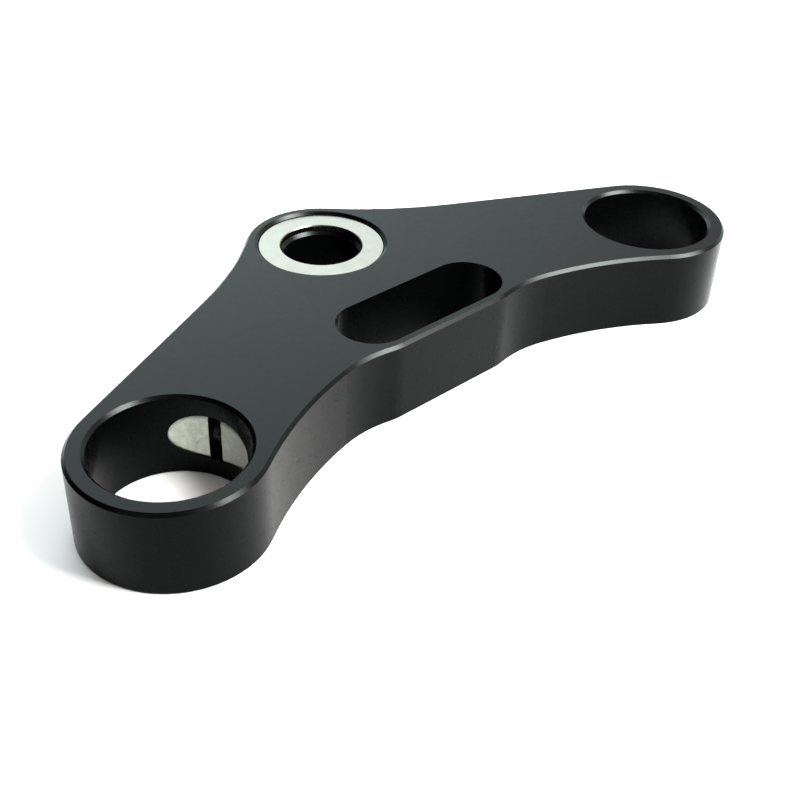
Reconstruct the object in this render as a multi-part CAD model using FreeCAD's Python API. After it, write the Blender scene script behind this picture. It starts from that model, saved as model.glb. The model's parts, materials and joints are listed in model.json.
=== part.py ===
import FreeCAD, Part
import math
import os

# Upper triple clamp of a motorcycle fork: a plate that clamps two fork tubes and sits on the steering stem.
# Millimetres. The origin is on the stem axis at the underside, +X runs along the row of fork bores,
# +Y points to the rear of the motorcycle and +Z points up. Left is the side of negative X.

# Plate
fork_spacing = 190.0
stem_offset = 56.0
plate_thickness = 25.5
top_chamfer = 0.9
bottom_chamfer = 0.3

# Fork bores and the round bosses around them
fork_bore = 41.0
fork_wall = 5.5

# Stem bore with the washer let into the top face
stem_bore = 24.0
stem_chamfer = 1.0
washer_width = 7.0
washer_thickness = 2.0
washer_depth = 1.0
washer_chamfer = 0.25
washer_clearance = 0.15
stem_wall = 3.85

# Rear outline: straight flanks from the fork bosses, which the stem boss stands out from
stem_proud = 7.6
flank_fillet = 130.0

# Front outline: a flat land between two wide scoops
scoop_radius = 120.0
scoop_centre = 13.0
scoop_blend = 40.0
land_proud = 3.4
land_width = 39.0
land_corner = 20.0

# Slot for the cables
slot_length = 60.0
slot_width = 22.0
slot_front_wall = 2.9

# Clamp barrels in a blind cross-hole beside each fork bore
clamp_angle = 23.2
barrel_diameter = 16.0
barrel_clearance = 0.05
barrel_gap = 3.5
barrel_room = 1.3
front_barrel_length = 15.0
rear_barrel_length = 22.5
barrel_end_chamfer = 0.6
relief_chamfer = 0.8
split_chamfer = 0.25
hole_mouth_chamfer = 0.6

# Socket-head screw that draws the two barrels together
screw_diameter = 6.0
screw_length = 30.0
screw_tip_chamfer = 0.7
screw_cover = 1.0
screw_clearance = 0.3
thread_clearance = 0.05
head_diameter = 10.0
head_height = 6.0
head_chamfer = 0.5
head_inset = 0.5
head_clearance = 0.5
key_sides = 6
key_width = 5.0
key_depth = 3.0

# Sizes that follow
fork_radius = fork_bore / 2
fork_boss = fork_radius + fork_wall
washer_hole = stem_bore + 2 * stem_chamfer
washer_diameter = washer_hole + 2 * washer_width
recess_radius = washer_diameter / 2 + washer_clearance
recess_depth = washer_depth + washer_thickness
stem_boss = recess_radius + stem_wall
barrel_radius = barrel_diameter / 2
hole_radius = barrel_radius + barrel_clearance
screw_radius = screw_diameter / 2
barrel_offset = fork_radius + screw_cover + screw_radius
half_gap = barrel_gap / 2
rear_barrel_end = half_gap + rear_barrel_length
head_seat = rear_barrel_end - head_inset - head_height
front_barrel_end = half_gap + front_barrel_length
hole_end = front_barrel_end + barrel_room

UP = FreeCAD.Vector(0, 0, 1)
MIDDLE = FreeCAD.Vector(0, 0, 0)
RIGHTWARDS = FreeCAD.Vector(1, 0, 0)
STEM = FreeCAD.Vector(0, 0, 0)
RIGHT_FORK = FreeCAD.Vector(fork_spacing / 2, -stem_offset, 0)
LEFT_FORK = FreeCAD.Vector(-fork_spacing / 2, -stem_offset, 0)
SAME_PLACE = 0.001


def mirrored(point):
    """The point on the other side of the plate's middle."""
    return FreeCAD.Vector(-point.x, point.y, point.z)


def turned(profile, base, axis):
    """Solid of revolution of a profile of (radius, distance along the axis) pairs."""
    points = [FreeCAD.Vector(radius, 0, along) for radius, along in profile]
    outline = Part.makePolygon(points + points[:1])
    solid = Part.Face(outline).revolve(MIDDLE, UP, 360)
    solid.Placement = FreeCAD.Placement(base, FreeCAD.Rotation(UP, axis))
    return solid


def arc(start, centre, end, bulge):
    """Arc about a centre from start to end, by way of the point that lies towards bulge."""
    chord_middle = (start + end) * 0.5
    outwards = chord_middle - centre
    if outwards.dot(bulge) < 0:
        outwards = outwards * -1
    outwards.normalize()
    return Part.Arc(start, centre + outwards * (start - centre).Length, end).toShape()


def flank_normal():
    """Direction square to the right flank, which touches the fork boss and runs inside the stem boss."""
    line = STEM - RIGHT_FORK
    drop = (fork_boss - (stem_boss - stem_proud)) / line.Length
    along = FreeCAD.Vector(line).normalize()
    across = FreeCAD.Vector(along.y, -along.x, 0)
    return along * drop + across * math.sqrt(1 - drop ** 2)


def rear_edges():
    """Rear outline of the right half, from the fork boss to the middle of the stem boss."""
    normal = flank_normal()
    outwards = FreeCAD.Vector(normal.y, -normal.x, 0)
    depth = stem_boss - stem_proud
    run = math.sqrt((stem_boss + flank_fillet) ** 2 - (depth + flank_fillet) ** 2)
    fillet_centre = STEM + normal * (depth + flank_fillet) + outwards * run
    fork_point = RIGHT_FORK + normal * fork_boss
    fillet_point = STEM + normal * depth + outwards * run
    stem_point = STEM + (fillet_centre - STEM).normalize() * stem_boss
    rear_point = STEM + FreeCAD.Vector(0, stem_boss, 0)
    return [
        Part.LineSegment(fork_point, fillet_point).toShape(),
        arc(fillet_point, fillet_centre, stem_point, normal * -1),
        arc(stem_point, STEM, rear_point, normal),
    ]


def scoop_middle():
    """Centre of the right scoop, whose arc touches the fork boss."""
    across = RIGHT_FORK.x - scoop_centre
    down = math.sqrt((scoop_radius + fork_boss) ** 2 - across ** 2)
    return FreeCAD.Vector(scoop_centre, RIGHT_FORK.y - down, 0)


def land_line():
    """Y of the flat land at the front."""
    return scoop_middle().y + scoop_radius - land_proud


def front_edges():
    """Front outline of the right half, from the middle of the land to the fork boss."""
    scoop = scoop_middle()
    land_middle = FreeCAD.Vector(0, land_line(), 0)
    land_end = FreeCAD.Vector(land_width / 2, land_line(), 0)
    corner = land_end + FreeCAD.Vector(0, land_corner, 0)
    reach = scoop - corner
    corner_side = land_corner + scoop_blend
    scoop_side = scoop_radius - scoop_blend
    along = (corner_side ** 2 - scoop_side ** 2 + reach.Length ** 2) / (2 * reach.Length)
    aside = math.sqrt(corner_side ** 2 - along ** 2)
    reach.normalize()
    blend = corner + reach * along + FreeCAD.Vector(-reach.y, reach.x, 0) * aside
    corner_point = corner + (blend - corner).normalize() * land_corner
    blend_point = scoop + (blend - scoop).normalize() * scoop_radius
    fork_point = RIGHT_FORK + (scoop - RIGHT_FORK).normalize() * fork_boss
    forwards = FreeCAD.Vector(0, -1, 0)
    return [
        Part.LineSegment(land_middle, land_end).toShape(),
        arc(land_end, corner, corner_point, forwards),
        arc(corner_point, blend, blend_point, forwards * -1),
        arc(blend_point, scoop, fork_point, forwards * -1),
    ]


def boss_edge(front, rear):
    """Outline of the right fork boss, round its outer end."""
    start = front[-1].Vertexes[-1].Point
    end = rear[0].Vertexes[0].Point
    outer_end = RIGHT_FORK + RIGHTWARDS * fork_boss
    return Part.Arc(start, outer_end, end).toShape()


def plate_blank():
    """The plate without its holes, with its upper and lower edges broken."""
    front = front_edges()
    rear = rear_edges()
    half = front + [boss_edge(front, rear)] + rear
    other_half = [edge.mirror(MIDDLE, RIGHTWARDS) for edge in half]
    outline = Part.Wire(Part.__sortEdges__(half + other_half))
    blank = Part.Face(outline).extrude(UP * plate_thickness).removeSplitter()
    upper = [edge for edge in blank.Edges if edge.BoundBox.ZMin > plate_thickness - SAME_PLACE]
    blank = blank.makeChamfer(top_chamfer, upper)
    lower = [edge for edge in blank.Edges if edge.BoundBox.ZMax < SAME_PLACE]
    return blank.makeChamfer(bottom_chamfer, lower)


def fork_bore_cut(centre):
    """Fork bore with both of its rims broken."""
    profile = [
        (0, 0),
        (fork_radius + bottom_chamfer, 0),
        (fork_radius, bottom_chamfer),
        (fork_radius, plate_thickness - top_chamfer),
        (fork_radius + top_chamfer, plate_thickness),
        (0, plate_thickness),
    ]
    return turned(profile, centre, UP)


def stem_bore_cut():
    """Stem bore with the recess for the washer above it."""
    floor = plate_thickness - recess_depth
    profile = [
        (0, 0),
        (stem_bore / 2, 0),
        (stem_bore / 2, floor - stem_chamfer),
        (washer_hole / 2, floor),
        (recess_radius, floor),
        (recess_radius, plate_thickness - top_chamfer),
        (recess_radius + top_chamfer, plate_thickness),
        (0, plate_thickness),
    ]
    return turned(profile, STEM, UP)


def slot_cut():
    """Round-ended slot behind the land."""
    radius = slot_width / 2
    middle = land_line() + slot_front_wall + radius
    reach = slot_length / 2 - radius
    front_right = FreeCAD.Vector(reach, middle - radius, 0)
    rear_right = FreeCAD.Vector(reach, middle + radius, 0)
    right_tip = FreeCAD.Vector(slot_length / 2, middle, 0)
    outline = Part.Wire([
        Part.LineSegment(mirrored(front_right), front_right).toShape(),
        Part.Arc(front_right, right_tip, rear_right).toShape(),
        Part.LineSegment(rear_right, mirrored(rear_right)).toShape(),
        Part.Arc(mirrored(rear_right), mirrored(right_tip), mirrored(front_right)).toShape(),
    ])
    return Part.Face(outline).extrude(UP * plate_thickness)


def clamp_axis():
    """Direction of the left cross-hole, from its blind end to its mouth in the rear flank."""
    angle = math.radians(clamp_angle)
    return FreeCAD.Vector(-math.sin(angle), math.cos(angle), 0)


def clamp_point(along):
    """Point on the axis of the left cross-hole, at a distance towards its mouth from the split."""
    angle = math.radians(clamp_angle)
    towards_stem = FreeCAD.Vector(math.cos(angle), math.sin(angle), 0)
    split = LEFT_FORK + towards_stem * barrel_offset + UP * (plate_thickness / 2)
    return split + clamp_axis() * along


def mouth_distance():
    """Distance along the left cross-hole from the split to the rear flank."""
    normal = mirrored(flank_normal())
    start = LEFT_FORK + normal * fork_boss - clamp_point(0)
    return start.dot(normal) / clamp_axis().dot(normal)


def cross_hole_cut():
    """Left cross-hole, blind towards the front and open at the rear flank."""
    beyond = mouth_distance() + barrel_diameter
    return Part.makeCylinder(hole_radius, hole_end + beyond, clamp_point(-hole_end), clamp_axis())


def is_hole_mouth(edge):
    """Whether an edge is the left cross-hole's rim in the rear flank."""
    near = (edge.CenterOfMass - clamp_point(mouth_distance())).Length < hole_radius / 2
    return near and edge.BoundBox.ZLength > hole_radius


def clamp_body():
    """The plate with its bores, slot and cross-holes."""
    body = plate_blank()
    body = body.cut(slot_cut())
    cross_hole = cross_hole_cut()
    body = body.cut(cross_hole).cut(cross_hole.mirror(MIDDLE, RIGHTWARDS))
    left_mouth = [edge for edge in body.Edges if is_hole_mouth(edge)]
    right_mouth = [edge for edge in body.Edges if is_hole_mouth(edge.mirror(MIDDLE, RIGHTWARDS))]
    body = body.makeChamfer(hole_mouth_chamfer, left_mouth + right_mouth)
    body = body.cut(stem_bore_cut())
    return body.cut(fork_bore_cut(LEFT_FORK)).cut(fork_bore_cut(RIGHT_FORK))


def stem_washer():
    """Flat washer on the floor of the stem's recess."""
    inner = washer_hole / 2
    outer = washer_diameter / 2
    profile = [
        (inner + washer_chamfer, 0),
        (outer - washer_chamfer, 0),
        (outer, washer_chamfer),
        (outer, washer_thickness - washer_chamfer),
        (outer - washer_chamfer, washer_thickness),
        (inner + washer_chamfer, washer_thickness),
        (inner, washer_thickness - washer_chamfer),
        (inner, washer_chamfer),
    ]
    return turned(profile, STEM + UP * (plate_thickness - recess_depth), UP)


def relieved(barrel):
    """The left barrel hollowed to the fork tube, with the thin edge around the hollow blunted."""
    barrel = barrel.cut(Part.makeCylinder(fork_radius, plate_thickness, LEFT_FORK, UP))
    thin_edges = [edge for edge in hollow_face(barrel).Edges if not is_straight(edge)]
    barrel = barrel.makeChamfer(relief_chamfer, thin_edges)
    split_edges = [edge for edge in hollow_face(barrel).Edges if is_straight(edge)]
    return barrel.makeChamfer(split_chamfer, split_edges)


def is_straight(edge):
    """Whether an edge is a straight line."""
    return isinstance(edge.Curve, Part.Line)


def hollow_face(barrel):
    """The face of a relieved left barrel that lies on the fork bore."""
    def lies_on_bore(face):
        surface = face.Surface
        return isinstance(surface, Part.Cylinder) and abs(surface.Radius - fork_radius) < SAME_PLACE
    return next(face for face in barrel.Faces if lies_on_bore(face))


def front_barrel():
    """Left barrel at the blind end, with the hole that takes the screw's thread."""
    profile = [
        (screw_radius + thread_clearance, half_gap),
        (barrel_radius, half_gap),
        (barrel_radius, front_barrel_end - barrel_end_chamfer),
        (barrel_radius - barrel_end_chamfer, front_barrel_end),
        (screw_radius + thread_clearance, front_barrel_end),
    ]
    return relieved(turned(profile, clamp_point(0), clamp_axis() * -1))


def rear_barrel():
    """Left barrel at the mouth, with a clearance hole and a recess for the screw's head."""
    shank_hole = screw_radius + screw_clearance
    head_hole = head_diameter / 2 + head_clearance
    profile = [
        (shank_hole, half_gap),
        (barrel_radius, half_gap),
        (barrel_radius, rear_barrel_end - barrel_end_chamfer),
        (barrel_radius - barrel_end_chamfer, rear_barrel_end),
        (head_hole, rear_barrel_end),
        (head_hole, head_seat),
        (shank_hole, head_seat),
    ]
    return relieved(turned(profile, clamp_point(0), clamp_axis()))


def clamp_screw():
    """Left socket-head screw, seated in the rear barrel."""
    head_radius = head_diameter / 2
    profile = [
        (0, -screw_length),
        (screw_radius - screw_tip_chamfer, -screw_length),
        (screw_radius, screw_tip_chamfer - screw_length),
        (screw_radius, 0),
        (head_radius, 0),
        (head_radius, head_height - head_chamfer),
        (head_radius - head_chamfer, head_height),
        (0, head_height),
    ]
    screw = turned(profile, clamp_point(head_seat), clamp_axis())
    return screw.cut(key_hole())


def key_hole():
    """Hexagon socket in the head of the left screw."""
    corner_radius = key_width / 2 / math.cos(math.pi / key_sides)
    first = FreeCAD.Vector(corner_radius, 0, 0)
    turns = [FreeCAD.Rotation(UP, 360 * step / key_sides) for step in range(key_sides + 1)]
    hexagon = Part.makePolygon([turn.multVec(first) for turn in turns])
    socket = Part.Face(hexagon).extrude(UP * key_depth)
    floor = clamp_point(head_seat + head_height - key_depth)
    socket.Placement = FreeCAD.Placement(floor, FreeCAD.Rotation(UP, clamp_axis()))
    return socket


os.makedirs("parts", exist_ok=True)
clamp_body().exportStep("parts/clamp_body.step")
stem_washer().exportStep("parts/stem_washer.step")
clamp_pieces = {
    "front_barrel": front_barrel(),
    "rear_barrel": rear_barrel(),
    "clamp_screw": clamp_screw(),
}
for name, piece in clamp_pieces.items():
    piece.exportStep(f"parts/left_{name}.step")
    piece.mirror(MIDDLE, RIGHTWARDS).exportStep(f"parts/right_{name}.step")
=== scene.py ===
import json
import math

import bmesh
import bpy
from bpy.props import FloatProperty, FloatVectorProperty, IntProperty, PointerProperty
from mathutils import Matrix, Vector


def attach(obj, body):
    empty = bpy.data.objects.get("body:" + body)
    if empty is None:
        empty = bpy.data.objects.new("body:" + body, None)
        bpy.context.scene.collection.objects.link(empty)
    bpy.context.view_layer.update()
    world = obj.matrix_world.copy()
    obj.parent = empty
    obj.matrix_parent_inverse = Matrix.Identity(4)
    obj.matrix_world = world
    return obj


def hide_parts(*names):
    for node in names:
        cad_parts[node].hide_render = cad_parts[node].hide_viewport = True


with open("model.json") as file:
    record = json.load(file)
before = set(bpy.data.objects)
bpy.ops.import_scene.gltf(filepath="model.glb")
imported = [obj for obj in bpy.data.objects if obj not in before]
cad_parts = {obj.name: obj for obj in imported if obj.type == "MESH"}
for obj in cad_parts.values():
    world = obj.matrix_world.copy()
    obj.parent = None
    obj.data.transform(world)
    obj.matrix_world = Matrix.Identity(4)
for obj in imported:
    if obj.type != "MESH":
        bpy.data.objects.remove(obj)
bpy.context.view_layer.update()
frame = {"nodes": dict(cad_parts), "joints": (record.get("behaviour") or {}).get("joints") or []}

bl_info = {
    "name": "Upper Triple Clamp",
    "version": (1, 0, 0),
    "blender": (4, 5, 0),
    "location": "3D View > Sidebar > Triple Clamp",
    "description": "Finishes, clamp screws and studio for the upper triple clamp",
    "category": "Object",
}

SIDES = ("left", "right")
TURN = 2 * math.pi


# Sizes that the loaded solids give
def screw_joint(side):
    """The joint that turns one side's clamp screw."""
    return next(joint for joint in frame["joints"] if joint["name"] == f"{side}_screw_turn")


def screw_axis(side):
    """Unit vector along a clamp screw, from its tip to its head."""
    return -Vector(screw_joint(side)["axis"]).normalized()


def screw_ends(side):
    """Tip and top of one side's clamp screw, in metres along its axis from the split."""
    split = Vector(screw_joint(side)["pos_m"])
    axis = screw_axis(side)
    plain = frame["nodes"][f"{side}_clamp_screw"].data.vertices
    along = [(vertex.co - split).dot(axis) for vertex in plain]
    return min(along), max(along)


def barrel_gap(side):
    """Width of the cut between the two halves of one side's barrel."""
    split = Vector(screw_joint(side)["pos_m"])
    axis = screw_axis(side)
    rear = frame["nodes"][f"{side}_rear_barrel"].data.vertices
    return 2 * min((vertex.co - split).dot(axis) for vertex in rear)


# Settings of each step
class PlateFinish(bpy.types.PropertyGroup):
    """Satin black anodised finish of the plate."""

    colour: FloatVectorProperty(
        name="Colour", description="Dyed colour of the anodised skin",
        subtype="COLOR", size=3, min=0, max=1, default=(0.0006, 0.0008, 0.0008))
    faded: FloatVectorProperty(
        name="Faded colour", description="Colour where the dye took a little less",
        subtype="COLOR", size=3, min=0, max=1, default=(0.0012, 0.0015, 0.0015))
    edge: FloatVectorProperty(
        name="Edge colour", description="Colour of the broken edges",
        subtype="COLOR", size=3, min=0, max=1, default=(0.0136, 0.0144, 0.0140))
    roughness: FloatProperty(
        name="Roughness", description="Roughness of the blasted faces",
        subtype="FACTOR", min=0, max=1, default=0.26)
    grain: FloatProperty(
        name="Grain", description="Width of one grain of the blasted surface",
        subtype="DISTANCE", unit="LENGTH", min=0.00001, default=0.00022)
    grain_depth: FloatProperty(
        name="Grain depth", description="Depth of the blasted surface",
        subtype="DISTANCE", unit="LENGTH", min=0, default=0.000006)


class WasherFinish(bpy.types.PropertyGroup):
    """Bright plated finish of the stem washer."""

    colour: FloatVectorProperty(
        name="Colour", description="Colour of the bright plating",
        subtype="COLOR", size=3, min=0, max=1, default=(0.189, 0.1825, 0.1615))
    dull: FloatVectorProperty(
        name="Dull colour", description="Colour of the duller turning rings",
        subtype="COLOR", size=3, min=0, max=1, default=(0.1635, 0.158, 0.140))
    roughness: FloatProperty(
        name="Roughness", description="Roughness of the turned face",
        subtype="FACTOR", min=0, max=1, default=0.27)
    feed: FloatProperty(
        name="Turning feed", description="Distance between two turning rings",
        subtype="DISTANCE", unit="LENGTH", min=0.00001, default=0.00016)


class BarrelFinish(bpy.types.PropertyGroup):
    """Dull zinc finish of the clamp barrels, with painted shade on the cut faces and on the front halves.
    """

    light: FloatVectorProperty(
        name="Light patches", description="Colour of the lighter zinc patches",
        subtype="COLOR", size=3, min=0, max=1, default=(0.775, 0.80, 0.675))
    dark: FloatVectorProperty(
        name="Dark patches", description="Colour of the darker zinc patches",
        subtype="COLOR", size=3, min=0, max=1, default=(0.585, 0.62, 0.515))
    pit: FloatVectorProperty(
        name="Pit colour", description="Colour of the small dark pits in the zinc",
        subtype="COLOR", size=3, min=0, max=1, default=(0.28, 0.30, 0.23))
    # Front shade is painted shade: the front halves get a darker copy of the zinc colours, standing in
    # for the shade they lie in
    front_painted_shade: FloatProperty(
        name="Front shade", description="Brightness of the duller front halves against the rear halves",
        subtype="FACTOR", min=0, max=1, default=0.70)
    roughness: FloatProperty(
        name="Roughness", description="Mean roughness of the zinc",
        subtype="FACTOR", min=0, max=1, default=0.45)
    # Cut colour: painted shade, a dark colour put on the faces in the gap between the barrel halves,
    # where shade falls
    cut: FloatVectorProperty(
        name="Cut colour", description="Colour of the blackened faces where the barrel is cut in two",
        subtype="COLOR", size=3, min=0, max=1, default=(0.012, 0.013, 0.012))
    patch: FloatProperty(
        name="Patch size", description="Width of one zinc patch",
        subtype="DISTANCE", unit="LENGTH", min=0.0001, default=0.0016)


class ScrewShape(bpy.types.PropertyGroup):
    """Sizes and finish of the socket-head clamp screws."""

    diameter: FloatProperty(
        name="Diameter", description="Outer diameter of the thread",
        subtype="DISTANCE", unit="LENGTH", default=0.00594)
    pitch: FloatProperty(
        name="Pitch", description="Advance of the thread in one turn",
        subtype="DISTANCE", unit="LENGTH", default=0.001)
    thread_depth: FloatProperty(
        name="Thread depth", description="Height of the thread from root to crest",
        subtype="DISTANCE", unit="LENGTH", default=0.00061)
    thread_length: FloatProperty(
        name="Thread length", description="Length of the threaded end",
        subtype="DISTANCE", unit="LENGTH", default=0.024)
    tip_chamfer: FloatProperty(
        name="Tip chamfer", description="Width of the chamfer at the tip",
        subtype="DISTANCE", unit="LENGTH", default=0.0007)
    head_diameter: FloatProperty(
        name="Head diameter", description="Diameter over the knurl of the head",
        subtype="DISTANCE", unit="LENGTH", default=0.00998)
    head_height: FloatProperty(
        name="Head height", description="Height of the head above its seat",
        subtype="DISTANCE", unit="LENGTH", default=0.006)
    head_chamfer: FloatProperty(
        name="Head chamfer", description="Width of the chamfer around the top of the head",
        subtype="DISTANCE", unit="LENGTH", default=0.0005)
    ribs: IntProperty(
        name="Knurl ribs", description="Ribs around the head", min=3, default=32)
    rib_depth: FloatProperty(
        name="Rib depth", description="Depth of the knurl",
        subtype="DISTANCE", unit="LENGTH", default=0.00016)
    key_width: FloatProperty(
        name="Key width", description="Width across the flats of the hexagon socket",
        subtype="DISTANCE", unit="LENGTH", default=0.005)
    key_depth: FloatProperty(
        name="Key depth", description="Depth of the hexagon socket",
        subtype="DISTANCE", unit="LENGTH", default=0.003)
    colour: FloatVectorProperty(
        name="Colour", description="Colour of the black oxide",
        subtype="COLOR", size=3, min=0, max=1, default=(0.060, 0.060, 0.062))
    rubbed: FloatVectorProperty(
        name="Rubbed colour", description="Colour where the oxide is rubbed thin",
        subtype="COLOR", size=3, min=0, max=1, default=(0.26, 0.255, 0.245))
    roughness: FloatProperty(
        name="Roughness", description="Roughness of the oiled oxide",
        subtype="FACTOR", min=0, max=1, default=0.30)


class StudioStage(bpy.types.PropertyGroup):
    """Floor, lights and camera."""

    floor_colour: FloatVectorProperty(
        name="Floor colour", description="Colour of the matt floor",
        subtype="COLOR", size=3, min=0, max=1, default=(0.940, 0.915, 0.918))
    backdrop: FloatVectorProperty(
        name="Backdrop colour", description="Colour of the backdrop behind the floor",
        subtype="COLOR", size=3, min=0, max=1, default=(1.0, 1.0, 1.0))
    floor_size: FloatProperty(
        name="Floor size", description="Width of the square floor",
        subtype="DISTANCE", unit="LENGTH", default=12.0)
    rear_window: FloatVectorProperty(
        name="Rear window", description="Light from behind",
        subtype="COLOR", size=3, min=0, default=(4.60, 5.35, 5.35))
    right_wall: FloatVectorProperty(
        name="Right wall", description="Light from low on the right",
        subtype="COLOR", size=3, min=0, default=(1.60, 1.60, 1.60))
    front_wall: FloatVectorProperty(
        name="Front wall", description="Light from low in front",
        subtype="COLOR", size=3, min=0, default=(1.10, 1.14, 1.14))
    left_wall: FloatVectorProperty(
        name="Left wall", description="Light from low on the left",
        subtype="COLOR", size=3, min=0, default=(1.10, 1.14, 1.14))
    right_ceiling: FloatVectorProperty(
        name="Right ceiling", description="Light from above on the right",
        subtype="COLOR", size=3, min=0, default=(1.66, 1.60, 1.56))
    front_ceiling: FloatVectorProperty(
        name="Front ceiling", description="Light from above in front",
        subtype="COLOR", size=3, min=0, default=(0.34, 0.33, 0.32))
    key_place: FloatVectorProperty(
        name="Key place", description="Where the key light stands",
        subtype="TRANSLATION", unit="LENGTH", size=3, default=(0.19, -0.315, 0.34))
    key_aim: FloatVectorProperty(
        name="Key aim", description="Point on the floor that the key light faces",
        subtype="TRANSLATION", unit="LENGTH", size=3, default=(0.05, -0.08, 0.0))
    key_spread: FloatProperty(
        name="Key spread", description="Angle that the key light's grid lets through",
        subtype="ANGLE", unit="ROTATION", default=math.radians(44.0))
    key_size: FloatProperty(
        name="Key size", description="Width of the square key light",
        subtype="DISTANCE", unit="LENGTH", default=0.34)
    key_power: FloatProperty(
        name="Key power", description="Power of the key light", subtype="POWER", default=1.10)
    key_colour: FloatVectorProperty(
        name="Key colour", description="Colour of the key light",
        subtype="COLOR", size=3, min=0, max=1, default=(0.97, 1.0, 0.98))
    camera_place: FloatVectorProperty(
        name="Camera place", description="Where the camera stands",
        subtype="TRANSLATION", unit="LENGTH", size=3, default=(-0.2144123, -0.2594417, 0.2096653))
    camera_azimuth: FloatProperty(
        name="Camera azimuth", description="Turn of the camera about the vertical",
        subtype="ANGLE", unit="ROTATION", default=math.radians(-44.2213))
    camera_elevation: FloatProperty(
        name="Camera elevation", description="Angle that the camera looks down by",
        subtype="ANGLE", unit="ROTATION", default=math.radians(36.1548))
    camera_roll: FloatProperty(
        name="Camera roll", description="Tilt of the camera about its own line of sight",
        subtype="ANGLE", unit="ROTATION", default=math.radians(-2.5308))
    lens: FloatProperty(
        name="Lens", description="Focal length on a sensor 36 mm wide",
        subtype="DISTANCE_CAMERA", default=53.668)


SETTINGS = {
    "clamp_plate": PlateFinish,
    "clamp_washer": WasherFinish,
    "clamp_barrels": BarrelFinish,
    "clamp_screws": ScrewShape,
    "clamp_stage": StudioStage,
}


# Nodes and materials
class NodeBench:
    """Adds nodes to one node tree and joins their sockets."""

    def __init__(self, tree):
        self.tree = tree

    def add(self, kind, inputs=None, **settings):
        """A new node with its properties set and its inputs joined or filled."""
        node = self.tree.nodes.new(kind)
        for name, value in settings.items():
            setattr(node, name, value)
        for key, value in (inputs or {}).items():
            self.feed(node.inputs[key], value)
        return node

    def feed(self, socket, value):
        """Join a socket to an output, or set its plain value."""
        if isinstance(value, bpy.types.NodeSocket):
            self.tree.links.new(value, socket)
        else:
            socket.default_value = value

    def math(self, operation, *values):
        """Output of one Math node."""
        return self.add("ShaderNodeMath", dict(enumerate(values)), operation=operation).outputs[0]

    def vector(self, operation, *values, result="Vector"):
        """Output of one Vector Math node."""
        node = self.add("ShaderNodeVectorMath", dict(enumerate(values)), operation=operation)
        return node.outputs[result]

    def span(self, value, low, high, start=0.0, end=1.0):
        """A value moved from one range to another, and held inside the new one."""
        inputs = {"Value": value, "From Min": low, "From Max": high, "To Min": start, "To Max": end}
        return self.add("ShaderNodeMapRange", inputs, clamp=True).outputs[0]

    def blend(self, factor, first, second):
        """Colour between two colours."""
        node = self.add("ShaderNodeMix", data_type="RGBA")
        self.feed(node.inputs["Factor"], factor)
        for name, colour in (("A", first), ("B", second)):
            socket = next(s for s in node.inputs if s.name == name and s.type == "RGBA")
            self.feed(socket, colour if isinstance(colour, bpy.types.NodeSocket) else (*colour, 1))
        return next(s for s in node.outputs if s.type == "RGBA")

    def noise(self, vector, scale, detail=2.0, roughness=0.5):
        """Value of a noise texture on a vector."""
        inputs = {"Vector": vector, "Scale": scale, "Detail": detail, "Roughness": roughness}
        return self.add("ShaderNodeTexNoise", inputs).outputs[0]


def new_material(name):
    """An empty node material, its bench, its shader and its object coordinates."""
    material = bpy.data.materials.new(name)
    material.use_nodes = True
    material.node_tree.nodes.clear()
    bench = NodeBench(material.node_tree)
    shader = bench.add("ShaderNodeBsdfPrincipled")
    output = bench.add("ShaderNodeOutputMaterial")
    material.node_tree.links.new(shader.outputs[0], output.inputs["Surface"])
    place = bench.add("ShaderNodeTexCoord")
    return material, bench, shader, place


def add_bump(bench, shader, height, depth, strength=1.0):
    """Drive a shader's normal by a height between 0 and 1."""
    bump = bench.add("ShaderNodeBump", {"Height": height, "Distance": depth, "Strength": strength})
    bench.feed(shader.inputs["Normal"], bump.outputs[0])


# Upright part of the normal on a broken edge, and how far from it the edge's colour fades
EDGE_TILT = math.sqrt(0.5)
EDGE_FADE = (0.05, 0.15)
# Noise scales, in features per metre
PLATE_CLOUDS = 22.0
PLATE_STREAKS = 420.0
STREAK_SHIFT = 0.025
PLATE_IOR = 1.15
PLATE_TINT = (0.89, 1.0, 0.97, 1.0)


def satin_black(finish):
    """Blasted and anodised aluminium, a little lighter on its broken edges."""
    material, bench, shader, place = new_material("satin_black_anodised")
    point = place.outputs["Object"]
    tilt = bench.add("ShaderNodeSeparateXYZ", {0: place.outputs["Normal"]}).outputs["Z"]
    off_edge = bench.math("ABSOLUTE", bench.math("SUBTRACT", bench.math("ABSOLUTE", tilt), EDGE_TILT))
    edge = bench.span(off_edge, *EDGE_FADE, 1.0, 0.0)
    clouds = bench.span(bench.noise(point, PLATE_CLOUDS, 3.0), 0.35, 0.65)
    dyed = bench.blend(clouds, finish.colour, finish.faded)
    bench.feed(shader.inputs["Base Color"], bench.blend(edge, dyed, finish.edge))
    bench.feed(shader.inputs["Metallic"], edge)
    streaks = bench.noise(point, PLATE_STREAKS, 4.0, 0.6)
    shift = bench.span(streaks, 0.3, 0.7, -STREAK_SHIFT, STREAK_SHIFT)
    bench.feed(shader.inputs["Roughness"], bench.math("ADD", shift, finish.roughness))
    shader.inputs["IOR"].default_value = PLATE_IOR
    shader.inputs["Specular Tint"].default_value = PLATE_TINT
    grain = bench.noise(point, 1 / finish.grain, 3.0, 0.6)
    add_bump(bench, shader, grain, finish.grain_depth)
    return material


WASHER_CLOUDS = 260.0
CLOUD_SHARE = 0.6
RING_DEPTH = 0.000004


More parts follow.
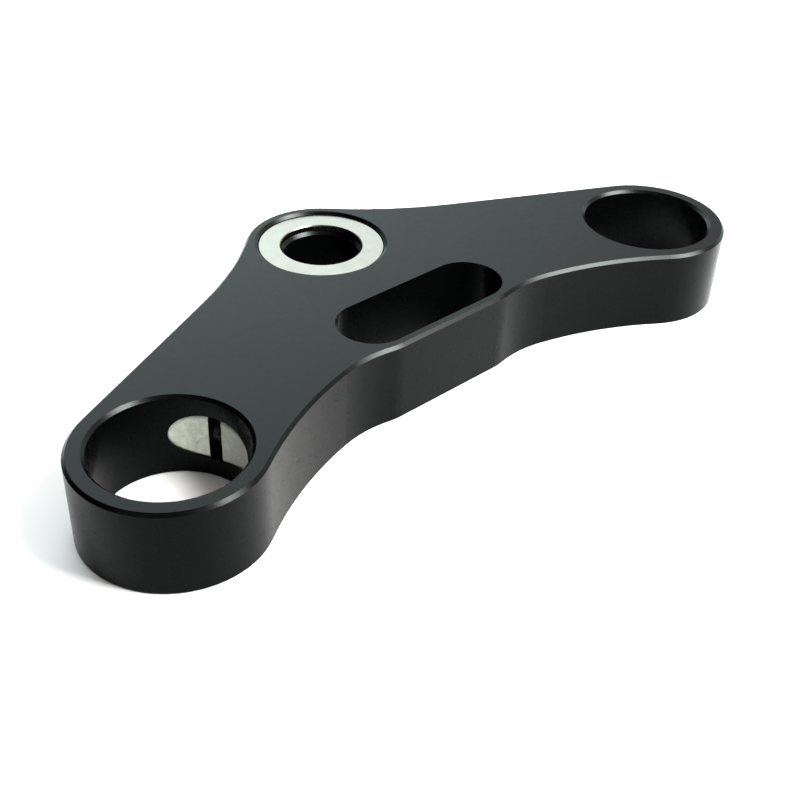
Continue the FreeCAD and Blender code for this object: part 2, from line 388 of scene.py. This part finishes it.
def bright_plate(finish):
    """Turned and plated steel, with fine rings about the stem axis."""
    material, bench, shader, place = new_material("bright_plated_steel")
    point = place.outputs["Object"]
    flat = bench.vector("MULTIPLY", point, (1.0, 1.0, 0.0))
    radius = bench.vector("LENGTH", flat, result="Value")
    ring_place = bench.add("ShaderNodeCombineXYZ", {"X": radius}).outputs[0]
    rings = bench.noise(ring_place, 1 / finish.feed, 2.0, 0.7)
    clouds = bench.noise(point, WASHER_CLOUDS, 3.0)
    marks = bench.math("ADD", rings, bench.math("MULTIPLY", clouds, CLOUD_SHARE))
    dull = bench.span(marks, 0.6, 1.1)
    bench.feed(shader.inputs["Base Color"], bench.blend(dull, finish.colour, finish.dull))
    rough = bench.span(dull, 0.0, 1.0, finish.roughness - 0.05, finish.roughness + 0.07)
    bench.feed(shader.inputs["Roughness"], rough)
    shader.inputs["Metallic"].default_value = 1.0
    add_bump(bench, shader, rings, RING_DEPTH)
    return material


# Width of the strip beside the barrel's cut over which the painted shade on the cut faces fades out
CUT_SHADE_FADE = 0.0003
SPECKS_PER_PATCH = 6
PITS_PER_PATCH = 3.2
SPECK_SHARE = 0.3
ZINC_METALLIC = 0.4
ZINC_DEPTH = 0.00002


def off_split(bench, point):
    """Distance from the plane in which the barrel of either side is cut in two."""
    split, axis = Vector(screw_joint("right")["pos_m"]), screw_axis("right")
    mirrored = bench.vector("ABSOLUTE", point)
    across = bench.add("ShaderNodeSeparateXYZ", {0: mirrored}).outputs["X"]
    back = bench.add("ShaderNodeSeparateXYZ", {0: point}).outputs["Y"]
    along = bench.math("MULTIPLY_ADD", back, axis.y, bench.math("MULTIPLY", across, axis.x))
    return bench.math("ABSOLUTE", bench.math("SUBTRACT", along, split.dot(axis)))


def zinc_with_painted_shade(finish, end, shade):
    """Zinc-plated steel with lighter and darker patches and small pits, and painted shade on the faces
    where it is cut; shade darkens all the zinc colours to make a painted-shade copy.
    """
    material, bench, shader, place = new_material(f"dull_zinc_{end}")
    colours = (finish.dark, finish.light, finish.pit)
    dark, bright, pit = [tuple(shade * part for part in colour) for colour in colours]
    point = place.outputs["Object"]
    patches = bench.noise(point, 1 / finish.patch, 4.0, 0.65)
    specks = bench.noise(point, SPECKS_PER_PATCH / finish.patch, 2.0, 0.6)
    coarse = bench.math("MULTIPLY", patches, 1 - SPECK_SHARE)
    mixed = bench.math("ADD", coarse, bench.math("MULTIPLY", specks, SPECK_SHARE))
    light = bench.span(mixed, 0.36, 0.62)
    pits = bench.span(bench.noise(point, PITS_PER_PATCH / finish.patch, 3.0, 0.7), 0.58, 0.74)
    zinc = bench.blend(pits, bench.blend(light, dark, bright), pit)
    # Painted shade: the cut faces in the gap get the cut colour, which fades to the zinc just beside them
    half_gap = barrel_gap("right") / 2
    plated = bench.span(off_split(bench, point), half_gap + CUT_SHADE_FADE / 2, half_gap + CUT_SHADE_FADE)
    bench.feed(shader.inputs["Base Color"], bench.blend(plated, finish.cut, zinc))
    rough = bench.span(mixed, 0.3, 0.7, finish.roughness + 0.12, finish.roughness - 0.1)
    bench.feed(shader.inputs["Roughness"], rough)
    shader.inputs["Metallic"].default_value = ZINC_METALLIC
    add_bump(bench, shader, mixed, ZINC_DEPTH, 0.7)
    return material


OXIDE_WEAR = 900.0
OXIDE_GRAIN = 4000.0
OXIDE_SHIFT = 0.06
OXIDE_METALLIC = 0.7
OXIDE_DEPTH = 0.000004


def black_oxide(shape):
    """Black oxide on steel, rubbed thin in small patches."""
    material, bench, shader, place = new_material("black_oxide_steel")
    point = place.outputs["Object"]
    worn = bench.span(bench.noise(point, OXIDE_WEAR, 4.0, 0.6), 0.5, 0.72)
    bench.feed(shader.inputs["Base Color"], bench.blend(worn, shape.colour, shape.rubbed))
    fine = bench.noise(point, OXIDE_GRAIN, 2.0)
    shift = bench.span(fine, 0.3, 0.7, shape.roughness - OXIDE_SHIFT, shape.roughness + OXIDE_SHIFT)
    bench.feed(shader.inputs["Roughness"], shift)
    shader.inputs["Metallic"].default_value = OXIDE_METALLIC
    add_bump(bench, shader, fine, OXIDE_DEPTH)
    return material


PAPER_CLOUDS = 3.0
PAPER_DARKEST = 0.985
PAPER_ROUGHNESS = 0.9
PAPER_SHEEN = 0.1


def matt_floor(stage):
    """Pale matt paper."""
    material, bench, shader, place = new_material("pale_floor")
    shade = bench.span(bench.noise(place.outputs["Object"], PAPER_CLOUDS), 0.3, 0.7, PAPER_DARKEST, 1.0)
    colour = bench.blend(shade, (0.0, 0.0, 0.0), stage.floor_colour)
    bench.feed(shader.inputs["Base Color"], colour)
    shader.inputs["Roughness"].default_value = PAPER_ROUGHNESS
    shader.inputs["Specular IOR Level"].default_value = PAPER_SHEEN
    return material


def give_material(obj, material):
    """Put one material on an object."""
    if obj.data.materials:
        obj.data.materials[0] = material
    else:
        obj.data.materials.append(material)


# Geometry nodes of the clamp screws
SCREW_INPUTS = (
    ("Diameter", "diameter"),
    ("Pitch", "pitch"),
    ("Thread Depth", "thread_depth"),
    ("Thread Length", "thread_length"),
    ("Tip Chamfer", "tip_chamfer"),
    ("Head Diameter", "head_diameter"),
    ("Head Height", "head_height"),
    ("Head Chamfer", "head_chamfer"),
    ("Ribs", "ribs"),
    ("Rib Depth", "rib_depth"),
    ("Key Width", "key_width"),
    ("Key Depth", "key_depth"),
)
ROWS_PER_TURN = 8
COLUMNS = 96
HEAD_RINGS = 11
# Shares of the pitch that are flat at the thread's crest and root
CREST = 1 / 8
ROOT = 1 / 4
# Distances in metres within which points are joined or slivers removed
WELD = 0.000004
SEAM = 0.000002
SLIVER = 0.000001
SHARP_ANGLE = math.radians(28)


def screw_tree(material):
    """Geometry nodes that make a socket-head screw standing on its tip at the origin."""
    tree = bpy.data.node_groups.new("clamp_screw", "GeometryNodeTree")
    tree.interface.new_socket("Geometry", in_out="INPUT", socket_type="NodeSocketGeometry")
    tree.interface.new_socket("Geometry", in_out="OUTPUT", socket_type="NodeSocketGeometry")
    tree.interface.new_socket("Shank Length", in_out="INPUT", socket_type="NodeSocketFloat")
    for name, _ in SCREW_INPUTS:
        kind = "NodeSocketInt" if name == "Ribs" else "NodeSocketFloat"
        tree.interface.new_socket(name, in_out="INPUT", socket_type=kind)
    bench = NodeBench(tree)
    size = bench.add("NodeGroupInput").outputs
    pieces = [threaded_shank(bench, size), tip_disc(bench, size), socket_head(bench, size)]
    joined = bench.add("GeometryNodeJoinGeometry")
    for piece in reversed(pieces):
        tree.links.new(piece, joined.inputs[0])
    welded = bench.add("GeometryNodeMergeByDistance", {"Geometry": joined.outputs[0], "Distance": WELD})
    dressed = bench.add("GeometryNodeSetMaterial", {"Geometry": welded.outputs[0], "Material": material})
    bench.add("NodeGroupOutput", {0: dressed.outputs[0]})
    return tree


def wrapped_grid(bench, rows):
    """A flat grid with its place along (0 to 1) and its angle about the axis."""
    counts = {"Size X": 1.0, "Size Y": 1.0, "Vertices X": rows, "Vertices Y": COLUMNS + 1}
    grid = bench.add("GeometryNodeMeshGrid", counts)
    position = bench.add("GeometryNodeInputPosition").outputs[0]
    place = bench.add("ShaderNodeSeparateXYZ", {0: position}).outputs
    along = bench.math("ADD", place["X"], 0.5)
    angle = bench.math("MULTIPLY", bench.math("ADD", place["Y"], 0.5), TURN)
    return grid.outputs["Mesh"], along, angle


def wrap(bench, mesh, radius, angle, height):
    """Move a grid's points to a radius, an angle and a height."""
    x = bench.math("MULTIPLY", radius, bench.math("COSINE", angle))
    y = bench.math("MULTIPLY", radius, bench.math("SINE", angle))
    place = bench.add("ShaderNodeCombineXYZ", {"X": x, "Y": y, "Z": height}).outputs[0]
    return bench.add("GeometryNodeSetPosition", {"Geometry": mesh, "Position": place}).outputs[0]


def threaded_shank(bench, size):
    """Shank whose rows of points run along the thread's own helix, cut off square at both ends."""
    length, pitch = size["Shank Length"], size["Pitch"]
    whole = bench.math("ADD", length, pitch)
    turns = bench.math("ROUND", bench.math("DIVIDE", whole, pitch))
    rows = bench.math("ADD", bench.math("MULTIPLY", turns, ROWS_PER_TURN), 1.0)
    mesh, along, angle = wrapped_grid(bench, rows)
    row = bench.math("SUBTRACT", bench.math("MULTIPLY", along, whole), pitch)
    climb = bench.math("MULTIPLY", bench.math("DIVIDE", angle, TURN), pitch)
    height = bench.math("MINIMUM", bench.math("MAXIMUM", bench.math("ADD", row, climb), 0.0), length)
    phase = bench.math("FRACT", bench.math("ADD", bench.math("DIVIDE", row, pitch), 1.0 - CREST / 2))
    from_crest = bench.math("MINIMUM", phase, bench.math("SUBTRACT", 1.0, phase))
    flank = (1 - CREST - ROOT) / 2
    ridge = bench.span(from_crest, CREST / 2, CREST / 2 + flank, 1.0, 0.0)
    runout = bench.math("DIVIDE", bench.math("SUBTRACT", height, size["Thread Length"]), pitch)
    ridge = bench.math("MAXIMUM", ridge, bench.span(runout, 0.0, 1.0))
    outer = bench.math("MULTIPLY", size["Diameter"], 0.5)
    groove = bench.math("MULTIPLY", bench.math("SUBTRACT", 1.0, ridge), size["Thread Depth"])
    tip = bench.math("SUBTRACT", outer, size["Tip Chamfer"])
    radius = bench.math("MINIMUM", bench.math("SUBTRACT", outer, groove), bench.math("ADD", tip, height))
    return wrap(bench, mesh, radius, angle, height)


def tip_disc(bench, size):
    """Flat end of the shank."""
    radius = bench.math("SUBTRACT", bench.math("MULTIPLY", size["Diameter"], 0.5), size["Tip Chamfer"])
    rim = {"Vertices": COLUMNS, "Radius": radius}
    disc = bench.add("GeometryNodeMeshCircle", rim, fill_type="TRIANGLE_FAN")
    return bench.add("GeometryNodeFlipFaces", {"Mesh": disc.outputs[0]}).outputs[0]


def by_row(bench, row, values):
    """The value that stands at a row's number."""
    switch = bench.add("GeometryNodeIndexSwitch", data_type="FLOAT")
    while len(switch.index_switch_items) < len(values):
        switch.index_switch_items.new()
    bench.feed(switch.inputs["Index"], row)
    for number, value in enumerate(values):
        bench.feed(switch.inputs[number + 1], value)
    return switch.outputs[0]


def socket_head(bench, size):
    """Knurled head with a hexagon socket, as rings from its seat over the rim to the socket's floor."""
    seat = size["Shank Length"]
    outer = bench.math("MULTIPLY", size["Head Diameter"], 0.5)
    shank = bench.math("MULTIPLY", size["Diameter"], 0.5)
    top = bench.math("ADD", seat, size["Head Height"])
    chamfer = size["Head Chamfer"]
    half_chamfer = bench.math("MULTIPLY", chamfer, 0.5)
    shoulder = bench.math("SUBTRACT", top, chamfer)
    key_floor = bench.math("SUBTRACT", top, size["Key Depth"])
    flat = bench.math("MULTIPLY", size["Key Width"], 0.5)
    corner = bench.math("DIVIDE", flat, math.cos(math.pi / 6))
    mesh, along, angle = wrapped_grid(bench, HEAD_RINGS)
    row = bench.math("ROUND", bench.math("MULTIPLY", along, HEAD_RINGS - 1))
    sector = bench.math("SUBTRACT", bench.math("MODULO", angle, TURN / 6), TURN / 12)
    hexagon = bench.math("DIVIDE", flat, bench.math("COSINE", sector))
    wave = bench.math("COSINE", bench.math("MULTIPLY", angle, size["Ribs"]))
    half_rib = bench.math("MULTIPLY", size["Rib Depth"], 0.5)
    valley = bench.math("MULTIPLY", bench.math("SUBTRACT", 1.0, wave), half_rib)
    ribbed = bench.math("SUBTRACT", outer, valley)
    foot = bench.math("SUBTRACT", outer, half_chamfer)
    rim = bench.math("SUBTRACT", top, half_chamfer)
    radii = [
        shank, foot, ribbed, ribbed, ribbed, foot, bench.math("SUBTRACT", outer, chamfer),
        bench.math("ADD", corner, half_chamfer), hexagon, hexagon, 0.0,
    ]
    heights = [
        seat, seat, bench.math("ADD", seat, half_chamfer), bench.math("ADD", seat, chamfer), shoulder,
        rim, top, top, rim, key_floor, bench.math("SUBTRACT", key_floor, half_chamfer),
    ]
    return wrap(bench, mesh, by_row(bench, row, radii), angle, by_row(bench, row, heights))


def make_screw(side, shape, tree):
    """One side's clamp screw as a plain mesh in its place."""
    base = bpy.data.objects.new(f"{side}_screw_base", bpy.data.meshes.new(f"{side}_screw_base"))
    bpy.context.scene.collection.objects.link(base)
    modifier = base.modifiers.new("clamp_screw", "NODES")
    modifier.node_group = tree
    sockets = {item.name: item.identifier for item in tree.interface.items_tree if item.in_out == "INPUT"}
    tip, top = screw_ends(side)
    modifier[sockets["Shank Length"]] = top - tip - shape.head_height
    for name, key in SCREW_INPUTS:
        modifier[sockets[name]] = getattr(shape, key)
    view = bpy.context.evaluated_depsgraph_get()
    mesh = bpy.data.meshes.new_from_object(base.evaluated_get(view))
    bpy.data.objects.remove(base)
    axis = screw_axis(side)
    split = Vector(screw_joint(side)["pos_m"])
    turn = axis.to_track_quat("Z", "Y").to_matrix().to_4x4()
    mesh.transform(Matrix.Translation(split + axis * tip) @ turn)
    finish_mesh(mesh)
    mesh.name = f"{side}_threaded_screw"
    screw = bpy.data.objects.new(f"{side}_threaded_screw", mesh)
    bpy.context.scene.collection.objects.link(screw)
    return screw


def finish_mesh(mesh):
    """Close the seams, point the faces outwards and shade smooth except at sharp edges."""
    shell = bmesh.new()
    shell.from_mesh(mesh)
    bmesh.ops.remove_doubles(shell, verts=shell.verts, dist=SEAM)
    bmesh.ops.dissolve_degenerate(shell, edges=shell.edges, dist=SLIVER)
    bmesh.ops.recalc_face_normals(shell, faces=shell.faces)
    shell.to_mesh(mesh)
    shell.free()
    mesh.shade_smooth()
    mesh.set_sharp_from_angle(angle=SHARP_ANGLE)


# Steps of the build
class CLAMP_OT_dress_plate(bpy.types.Operator):
    """Give the clamp plate its satin black finish"""

    bl_idname = "clamp.dress_plate"
    bl_label = "Dress Plate"

    def execute(self, context):
        give_material(frame["nodes"]["clamp_body"], satin_black(context.scene.clamp_plate))
        return {"FINISHED"}


class CLAMP_OT_dress_washer(bpy.types.Operator):
    """Give the stem washer its bright plated finish"""

    bl_idname = "clamp.dress_washer"
    bl_label = "Dress Washer"

    def execute(self, context):
        give_material(frame["nodes"]["stem_washer"], bright_plate(context.scene.clamp_washer))
        return {"FINISHED"}


class CLAMP_OT_dress_barrels(bpy.types.Operator):
    """Give the four clamp barrels their dull zinc finish, with painted shade on the cut faces and a
    darker painted-shade copy on the front halves
    """

    bl_idname = "clamp.dress_barrels"
    bl_label = "Dress Barrels"

    def execute(self, context):
        finish = context.scene.clamp_barrels
        # The rear halves get the zinc as it is, the front halves a darker copy of it as painted shade
        for end, shade in (("rear", 1.0), ("front", finish.front_painted_shade)):
            zinc = zinc_with_painted_shade(finish, end, shade)
            for side in SIDES:
                give_material(frame["nodes"][f"{side}_{end}_barrel"], zinc)
        return {"FINISHED"}


class CLAMP_OT_make_screws(bpy.types.Operator):
    """Make the two threaded clamp screws in place of their plain solids"""

    bl_idname = "clamp.make_screws"
    bl_label = "Make Screws"

    def execute(self, context):
        shape = context.scene.clamp_screws
        tree = screw_tree(black_oxide(shape))
        for side in SIDES:
            screw = make_screw(side, shape, tree)
            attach(screw, f"{side}_clamp_screw")
            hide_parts(f"{side}_clamp_screw")
        return {"FINISHED"}


# Studio
def camera_turn(stage):
    """Rotation of the camera from its azimuth, elevation and roll."""
    azimuth, elevation, roll = stage.camera_azimuth, stage.camera_elevation, stage.camera_roll
    forward = Vector((
        -math.sin(azimuth) * math.cos(elevation),
        math.cos(azimuth) * math.cos(elevation),
        -math.sin(elevation),
    ))
    level_right = forward.cross(Vector((0, 0, 1))).normalized()
    level_down = forward.cross(level_right)
    right = math.cos(roll) * level_right + math.sin(roll) * level_down
    down = -math.sin(roll) * level_right + math.cos(roll) * level_down
    return Matrix((right, -down, -forward)).transposed()


def add_floor(stage):
    """Square floor that the plate lies on."""
    half = stage.floor_size / 2
    mesh = bpy.data.meshes.new("floor")
    corners = [(-half, -half, 0), (half, -half, 0), (half, half, 0), (-half, half, 0)]
    mesh.from_pydata(corners, [], [(0, 1, 2, 3)])
    floor = bpy.data.objects.new("floor", mesh)
    bpy.context.scene.collection.objects.link(floor)
    give_material(floor, matt_floor(stage))


# Degrees: azimuth from the right towards the rear, elevation, and angle at which the light has faded out
ROOM_LIGHTS = {
    "rear_window": (67, 37, 35),
    "right_wall": (0, 12, 44),
    "front_wall": (275, 12, 34),
    "left_wall": (200, 14, 36),
    "right_ceiling": (30, 66, 44),
    "front_ceiling": (270, 66, 44),
}


def add_room(stage):
    """Dim room with broad soft lights around and above, and a pale backdrop where the floor ends."""
    world = bpy.data.worlds.new("studio_room")
    bpy.context.scene.world = world
    world.use_nodes = True
    world.node_tree.nodes.clear()
    bench = NodeBench(world.node_tree)
    direction = bench.add("ShaderNodeTexCoord").outputs["Generated"]
    glow = (0.0, 0.0, 0.0)
    for name, angles in ROOM_LIGHTS.items():
        azimuth, elevation, width = map(math.radians, angles)
        level = math.cos(elevation)
        middle = (level * math.cos(azimuth), level * math.sin(azimuth), math.sin(elevation))
        facing = bench.vector("DOT_PRODUCT", direction, middle, result="Value")
        share = bench.span(facing, math.cos(width), 1.0)
        colour = {0: tuple(getattr(stage, name)), "Scale": share}
        shine = bench.add("ShaderNodeVectorMath", colour, operation="SCALE").outputs[0]
        glow = bench.vector("ADD", glow, shine)
    room = bench.add("ShaderNodeBackground", {"Color": glow, "Strength": 1.0}).outputs[0]
    pale = {"Color": (*stage.backdrop, 1), "Strength": 1.0}
    backdrop = bench.add("ShaderNodeBackground", pale).outputs[0]
    seen = bench.add("ShaderNodeLightPath").outputs["Is Camera Ray"]
    sky = bench.add("ShaderNodeMixShader", {0: seen, 1: room, 2: backdrop}).outputs[0]
    bench.add("ShaderNodeOutputWorld", {"Surface": sky})


def add_key(stage):
    """Square softbox behind a grid."""
    light = bpy.data.lights.new("key_softbox", "AREA")
    light.shape = "SQUARE"
    light.size = stage.key_size
    light.spread = stage.key_spread
    light.energy = stage.key_power
    light.color = stage.key_colour
    lamp = bpy.data.objects.new("key_softbox", light)
    bpy.context.scene.collection.objects.link(lamp)
    lamp.location = stage.key_place
    backwards = Vector(stage.key_place) - Vector(stage.key_aim)
    lamp.rotation_euler = backwards.to_track_quat("Z", "Y").to_euler()


# Millimetres across the camera's sensor, and metres to its nearest visible point
SENSOR_WIDTH = 36.0
CLIP_START = 0.01


class CLAMP_OT_set_stage(bpy.types.Operator):
    """Set the floor, the room, the key light and the camera"""

    bl_idname = "clamp.set_stage"
    bl_label = "Set Stage"

    def execute(self, context):
        stage = context.scene.clamp_stage
        add_floor(stage)
        add_room(stage)
        add_key(stage)
        lens = bpy.data.cameras.new("camera")
        lens.sensor_width = SENSOR_WIDTH
        lens.lens = stage.lens
        lens.clip_start = CLIP_START
        camera = bpy.data.objects.new("camera", lens)
        context.scene.collection.objects.link(camera)
        camera.matrix_world = Matrix.Translation(stage.camera_place) @ camera_turn(stage).to_4x4()
        context.scene.camera = camera
        context.scene.view_settings.view_transform = "Standard"
        return {"FINISHED"}


# Panel and registration
OPERATORS = (
    CLAMP_OT_dress_plate,
    CLAMP_OT_dress_washer,
    CLAMP_OT_dress_barrels,
    CLAMP_OT_make_screws,
    CLAMP_OT_set_stage,
)


class CLAMP_PT_panel(bpy.types.Panel):
    """Steps and settings of the triple clamp"""

    bl_label = "Triple Clamp"
    bl_idname = "CLAMP_PT_panel"
    bl_space_type = "VIEW_3D"
    bl_region_type = "UI"
    bl_category = "Triple Clamp"

    def draw(self, context):
        for operator, key in zip(OPERATORS, SETTINGS):
            box = self.layout.box()
            box.operator(operator.bl_idname)
            settings = getattr(context.scene, key)
            for name in SETTINGS[key].__annotations__:
                box.prop(settings, name)


CLASSES = (*SETTINGS.values(), *OPERATORS, CLAMP_PT_panel)


def register():
    for cls in CLASSES:
        bpy.utils.register_class(cls)
    for key, group in SETTINGS.items():
        setattr(bpy.types.Scene, key, PointerProperty(type=group))


def unregister():
    for key in SETTINGS:
        delattr(bpy.types.Scene, key)
    for cls in reversed(CLASSES):
        bpy.utils.unregister_class(cls)


def main():
    register()
    bpy.ops.clamp.dress_plate()
    bpy.ops.clamp.dress_washer()
    bpy.ops.clamp.dress_barrels()
    bpy.ops.clamp.make_screws()
    bpy.ops.clamp.set_stage()


if __name__ == "__main__":
    main()
